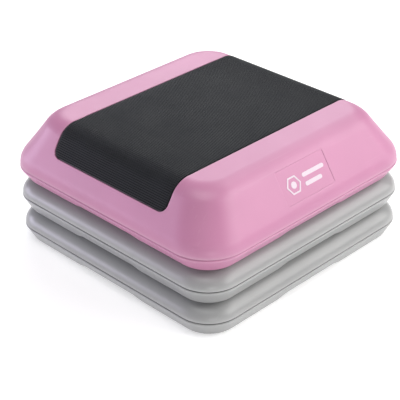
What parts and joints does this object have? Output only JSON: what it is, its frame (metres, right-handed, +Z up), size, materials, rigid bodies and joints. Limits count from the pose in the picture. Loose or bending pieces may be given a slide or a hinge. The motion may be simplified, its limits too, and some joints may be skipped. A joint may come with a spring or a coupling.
{
  "type": "aerobic step",
  "caption": "Square aerobic high step: a pink hollow platform with a ribbed black tread over its top and two slopes, stacked on grey risers that nest and lift apart.",
  "frame": {"origin": "middle of the footprint, at the floor under the lower riser's feet", "axes": "+Z up, the tread runs along X and wraps down both X slopes, the badge is on the -Y slope"},
  "size_m": [0.429, 0.429, 0.2032],
  "materials": {
    "pink_plastic": "fine satin grain",
    "grey_plastic": "fine satin grain",
    "tread_rubber": "fine ribs",
    "badge_ink": "pad print",
    "foot_rubber": "matte",
    "plug_plastic": "moulded"
  },
  "bodies": {
    "lower_riser": {"lower_riser_shell": "grey_plastic", "lower_riser_plug": "plug_plastic", "lower_riser_foot_front_left": "foot_rubber", "lower_riser_foot_front_right": "foot_rubber", "lower_riser_foot_back_left": "foot_rubber", "lower_riser_foot_back_right": "foot_rubber"},
    "upper_riser": {"upper_riser_shell": "grey_plastic", "upper_riser_plug": "plug_plastic", "upper_riser_foot_front_left": "foot_rubber", "upper_riser_foot_front_right": "foot_rubber", "upper_riser_foot_back_left": "foot_rubber", "upper_riser_foot_back_right": "foot_rubber"},
    "platform": {"platform_shell": "pink_plastic", "tread_mat": "tread_rubber", "badge_print": "badge_ink", "platform_plug": "plug_plastic", "platform_foot_front_left": "foot_rubber", "platform_foot_front_right": "foot_rubber", "platform_foot_back_left": "foot_rubber", "platform_foot_back_right": "foot_rubber"}
  },
  "joints": [
    {"name": "upper_riser_lift", "type": "slide", "parent": "lower_riser", "child": "upper_riser", "axis": [0, 0, 1], "range_m": [0, 0.12]},
    {"name": "platform_lift", "type": "slide", "parent": "upper_riser", "child": "platform", "axis": [0, 0, 1], "range_m": [0, 0.12]}
  ]
}
